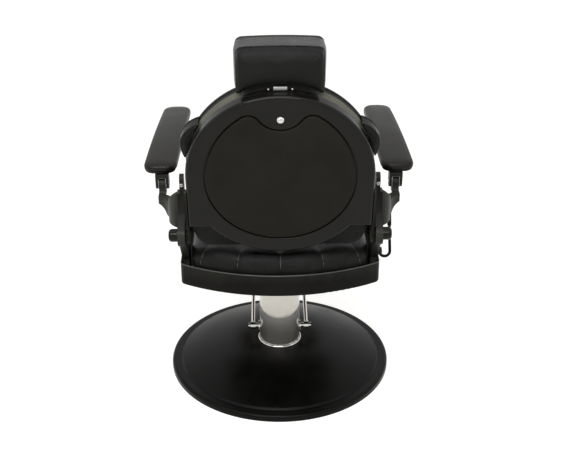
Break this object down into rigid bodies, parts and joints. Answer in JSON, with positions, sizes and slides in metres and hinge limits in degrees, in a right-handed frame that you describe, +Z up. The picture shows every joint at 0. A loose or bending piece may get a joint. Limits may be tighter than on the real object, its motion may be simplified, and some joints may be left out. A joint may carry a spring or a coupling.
{
  "type": "barber chair",
  "caption": "Reclining barber chair on a domed round base with a pump column, bowed seat tub, round back with sliding headrest, flip up arms, recline lever and rising footrest.",
  "frame": {"origin": "centre of the base's underside, on the column's axis, at floor level", "axes": "+Z up along the column, -Y the way the sitter faces, +X the sitter's left"},
  "size_m": [0.7866, 1.0398, 1.127],
  "materials": {
    "steel_plate": "plain black painted steel",
    "black_cover": "satin black coated base",
    "chrome": "polished chrome plate",
    "black_plastic": "fine grained black plastic",
    "black_metal": "satin black powder coat",
    "back_shell_black": "semi gloss black shell",
    "leather": "grained black upholstery leather",
    "wood": "plain birch plywood",
    "rubber": "ribbed black rubber",
    "bright_steel": "brushed steel"
  },
  "bodies": {
    "base": {"base_plate": "steel_plate", "base_cover": "black_cover", "pump_body": "steel_plate", "pump_column": "chrome", "column_collar": "chrome", "column_cap": "black_plastic", "pedal_bush_left": "bright_steel", "pedal_bush_right": "bright_steel"},
    "pedal": {"pedal_shaft": "chrome", "pedal_frame": "chrome", "pedal_grip": "rubber"},
    "ram": {"lift_ram": "chrome"},
    "seat": {"swivel_hub": "steel_plate", "mount_plate": "steel_plate", "seat_tub": "black_metal", "seat_rail_left": "steel_plate", "seat_rail_right": "steel_plate", "seat_pan": "wood", "seat_cushion": "leather", "arm_post_left": "black_metal", "arm_post_right": "black_metal", "pivot_bolt_left": "black_plastic", "pivot_bolt_right": "black_plastic", "lever_pin": "black_metal", "foot_bracket_left": "black_metal", "foot_bracket_right": "black_metal"},
    "arm_left": {"arm_fork_left": "black_metal", "arm_liner_left": "bright_steel", "arm_pin_left": "bright_steel", "arm_shell_left": "black_plastic", "arm_pad_left": "leather"},
    "arm_right": {"arm_fork_right": "black_metal", "arm_liner_right": "bright_steel", "arm_pin_right": "bright_steel", "arm_shell_right": "black_plastic", "arm_pad_right": "leather"},
    "back": {"back_shell": "back_shell_black", "back_panel": "leather", "back_board": "wood", "back_cushion": "leather", "back_wing_left": "leather", "back_wing_right": "leather", "back_hinge_left": "black_metal", "back_hinge_right": "black_metal", "headrest_guide": "steel_plate", "headrest_bezel": "black_plastic", "headrest_latch": "bright_steel"},
    "headrest": {"headrest_bar": "chrome", "headrest_pad": "leather"},
    "lock": {"lock_knob": "chrome"},
    "lever": {"recline_lever": "black_metal", "lever_grip": "black_plastic"},
    "footrest": {"foot_arm_left": "chrome", "foot_arm_right": "chrome", "calf_board": "wood", "calf_pad": "leather", "foot_rod": "chrome"},
    "footplate": {"foot_plate": "bright_steel", "foot_tread": "rubber"}
  },
  "joints": [
    {"name": "pedal_press", "type": "hinge", "parent": "base", "child": "pedal", "pos_m": [0, 0, 0.121], "axis": [1, 0, 0], "range_deg": [0, 14], "stiffness_Nm_per_rad": 20, "springref_deg": -20.05},
    {"name": "ram_lift", "type": "slide", "parent": "base", "child": "ram", "axis": [0, 0, 1], "range_m": [0, 0.13]},
    {"name": "seat_swivel", "type": "hinge", "parent": "ram", "child": "seat", "pos_m": [0, 0, 0.37], "axis": [0, 0, 1], "continuous": true},
    {"name": "back_recline", "type": "hinge", "parent": "seat", "child": "back", "pos_m": [0, 0.25, 0.565], "axis": [-1, 0, 0], "range_deg": [0, 55]},
    {"name": "footrest_rise", "type": "hinge", "parent": "seat", "child": "footrest", "pos_m": [0, -0.215, 0.362], "axis": [-1, 0, 0], "range_deg": [0, 40]},
    {"name": "foot_flip", "type": "hinge", "parent": "footrest", "child": "footplate", "pos_m": [0, -0.46967, 0.15057], "axis": [-1, 0, 0], "range_deg": [0, 78]},
    {"name": "arm_left_flip", "type": "hinge", "parent": "seat", "child": "arm_left", "pos_m": [0.3398, 0.03, 0.628], "axis": [-1, 0, 0], "range_deg": [0, 85]},
    {"name": "arm_right_flip", "type": "hinge", "parent": "seat", "child": "arm_right", "pos_m": [-0.3398, 0.03, 0.628], "axis": [-1, 0, 0], "range_deg": [0, 85]},
    {"name": "headrest_slide", "type": "slide", "parent": "back", "child": "headrest", "axis": [0, 0.2215, 0.9751], "range_m": [0, 0.09]},
    {"name": "lock_turn", "type": "hinge", "parent": "back", "child": "lock", "pos_m": [0, 0.3364, 0.94531], "axis": [0, 0.9751, -0.2215], "range_deg": [-180, 180]},
    {"name": "lever_pull", "type": "hinge", "parent": "seat", "child": "lever", "pos_m": [-0.299, 0.055, 0.41], "axis": [1, 0, 0], "range_deg": [0, 25], "stiffness_Nm_per_rad": 3, "springref_deg": -22.92}
  ],
  "couplings": [
    {"joint": "footrest_rise", "follows": "back_recline", "ratio": 0.72}
  ]
}
